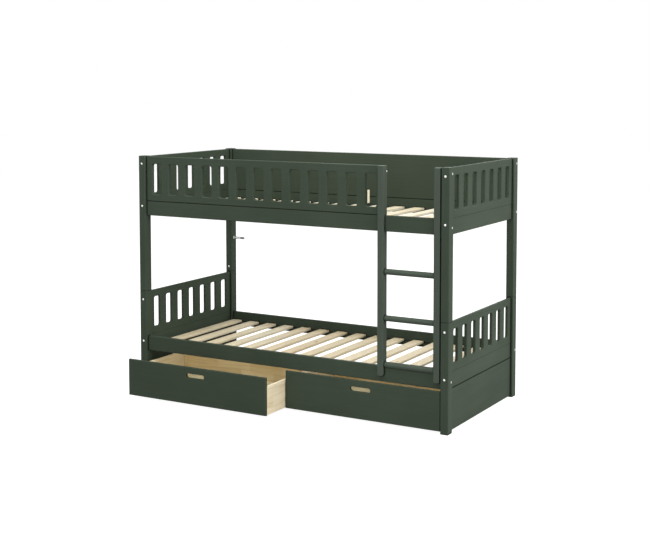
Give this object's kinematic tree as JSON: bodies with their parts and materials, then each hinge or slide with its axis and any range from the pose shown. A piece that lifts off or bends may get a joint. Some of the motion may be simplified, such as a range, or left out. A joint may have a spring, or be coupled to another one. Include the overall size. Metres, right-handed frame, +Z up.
{
  "type": "bunk bed",
  "caption": "Painted wooden bunk bed with slotted ends and guard, a fixed ladder, bare slats and storage drawers that roll on wheels below.",
  "frame": {"origin": "on the floor, below the middle of the whole part with the left drawer pulled out as in the picture", "axes": "+X along the bed to the ladder end, +Y from the drawer side to the back, +Z up"},
  "size_m": [2.08, 1.1924, 1.443],
  "materials": {
    "green_paint": "satin dark green paint on wood",
    "bare_pine": "bare planed pine",
    "plywood": "bare thin plywood",
    "steel": "bright turned steel",
    "black_plastic": "matt black plastic"
  },
  "bodies": {
    "bed_frame": {"post_lower_front_left": "green_paint", "post_lower_front_right": "green_paint", "post_lower_rear_left": "green_paint", "post_lower_rear_right": "green_paint", "post_upper_front_left": "green_paint", "post_upper_front_right": "green_paint", "post_upper_rear_left": "green_paint", "post_upper_rear_right": "green_paint", "rail_lower_front": "green_paint", "rail_lower_rear": "green_paint", "rail_upper_front": "green_paint", "rail_upper_rear": "green_paint", "guard_front": "green_paint", "guard_rear": "green_paint", "end_panel_upper_left": "green_paint", "end_panel_upper_right": "green_paint", "end_panel_lower_left": "green_paint", "end_panel_lower_right": "green_paint", "end_board_left": "green_paint", "end_board_right": "green_paint", "ladder_stile_left": "green_paint", "ladder_stile_right": "green_paint", "ladder_rung_1": "green_paint", "ladder_rung_2": "green_paint", "ladder_rung_3": "green_paint", "slat_lower_01": "bare_pine", "slat_lower_02": "bare_pine", "slat_lower_03": "bare_pine", "slat_lower_04": "bare_pine", "slat_lower_05": "bare_pine", "slat_lower_06": "bare_pine", "slat_lower_07": "bare_pine", "slat_lower_08": "bare_pine", "slat_lower_09": "bare_pine", "slat_lower_10": "bare_pine", "slat_lower_11": "bare_pine", "slat_lower_12": "bare_pine", "slat_lower_13": "bare_pine", "slat_lower_14": "bare_pine", "slat_lower_15": "bare_pine", "slats_upper": "bare_pine", "post_pin": "steel"},
    "drawer_left": {"drawer_left_front": "green_paint", "drawer_left_side_left": "bare_pine", "drawer_left_side_right": "bare_pine", "drawer_left_back": "bare_pine", "drawer_left_bottom": "plywood"},
    "drawer_left_wheel_1": {"drawer_left_wheel_1": "black_plastic"},
    "drawer_left_wheel_2": {"drawer_left_wheel_2": "black_plastic"},
    "drawer_left_wheel_3": {"drawer_left_wheel_3": "black_plastic"},
    "drawer_left_wheel_4": {"drawer_left_wheel_4": "black_plastic"},
    "drawer_right": {"drawer_right_front": "green_paint", "drawer_right_side_left": "bare_pine", "drawer_right_side_right": "bare_pine", "drawer_right_back": "bare_pine", "drawer_right_bottom": "plywood"},
    "drawer_right_wheel_1": {"drawer_right_wheel_1": "black_plastic"},
    "drawer_right_wheel_2": {"drawer_right_wheel_2": "black_plastic"},
    "drawer_right_wheel_3": {"drawer_right_wheel_3": "black_plastic"},
    "drawer_right_wheel_4": {"drawer_right_wheel_4": "black_plastic"}
  },
  "joints": [
    {"name": "drawer_left_slide", "type": "slide", "parent": "bed_frame", "child": "drawer_left", "axis": [0, -1, 0], "range_m": [-0.208, 0.292]},
    {"name": "drawer_left_wheel_1_spin", "type": "hinge", "parent": "drawer_left", "child": "drawer_left_wheel_1", "pos_m": [-0.9114, -0.50825, 0.025], "axis": [1, 0, 0], "continuous": true},
    {"name": "drawer_left_wheel_2_spin", "type": "hinge", "parent": "drawer_left", "child": "drawer_left_wheel_2", "pos_m": [-0.9114, -0.11725, 0.025], "axis": [1, 0, 0], "continuous": true},
    {"name": "drawer_left_wheel_3_spin", "type": "hinge", "parent": "drawer_left", "child": "drawer_left_wheel_3", "pos_m": [-0.0434, -0.50825, 0.025], "axis": [1, 0, 0], "continuous": true},
    {"name": "drawer_left_wheel_4_spin", "type": "hinge", "parent": "drawer_left", "child": "drawer_left_wheel_4", "pos_m": [-0.0434, -0.11725, 0.025], "axis": [1, 0, 0], "continuous": true},
    {"name": "drawer_right_slide", "type": "slide", "parent": "bed_frame", "child": "drawer_right", "axis": [0, -1, 0], "range_m": [0, 0.5]},
    {"name": "drawer_right_wheel_1_spin", "type": "hinge", "parent": "drawer_right", "child": "drawer_right_wheel_1", "pos_m": [0.0686, -0.30025, 0.025], "axis": [1, 0, 0], "continuous": true},
    {"name": "drawer_right_wheel_2_spin", "type": "hinge", "parent": "drawer_right", "child": "drawer_right_wheel_2", "pos_m": [0.0686, 0.09075, 0.025], "axis": [1, 0, 0], "continuous": true},
    {"name": "drawer_right_wheel_3_spin", "type": "hinge", "parent": "drawer_right", "child": "drawer_right_wheel_3", "pos_m": [0.9366, -0.30025, 0.025], "axis": [1, 0, 0], "continuous": true},
    {"name": "drawer_right_wheel_4_spin", "type": "hinge", "parent": "drawer_right", "child": "drawer_right_wheel_4", "pos_m": [0.9366, 0.09075, 0.025], "axis": [1, 0, 0], "continuous": true}
  ],
  "couplings": [
    {"joint": "drawer_left_wheel_1_spin", "follows": "drawer_left_slide", "rad_per_m": 40},
    {"joint": "drawer_left_wheel_2_spin", "follows": "drawer_left_slide", "rad_per_m": 40},
    {"joint": "drawer_left_wheel_3_spin", "follows": "drawer_left_slide", "rad_per_m": 40},
    {"joint": "drawer_left_wheel_4_spin", "follows": "drawer_left_slide", "rad_per_m": 40},
    {"joint": "drawer_right_wheel_1_spin", "follows": "drawer_right_slide", "rad_per_m": 40},
    {"joint": "drawer_right_wheel_2_spin", "follows": "drawer_right_slide", "rad_per_m": 40},
    {"joint": "drawer_right_wheel_3_spin", "follows": "drawer_right_slide", "rad_per_m": 40},
    {"joint": "drawer_right_wheel_4_spin", "follows": "drawer_right_slide", "rad_per_m": 40}
  ]
}
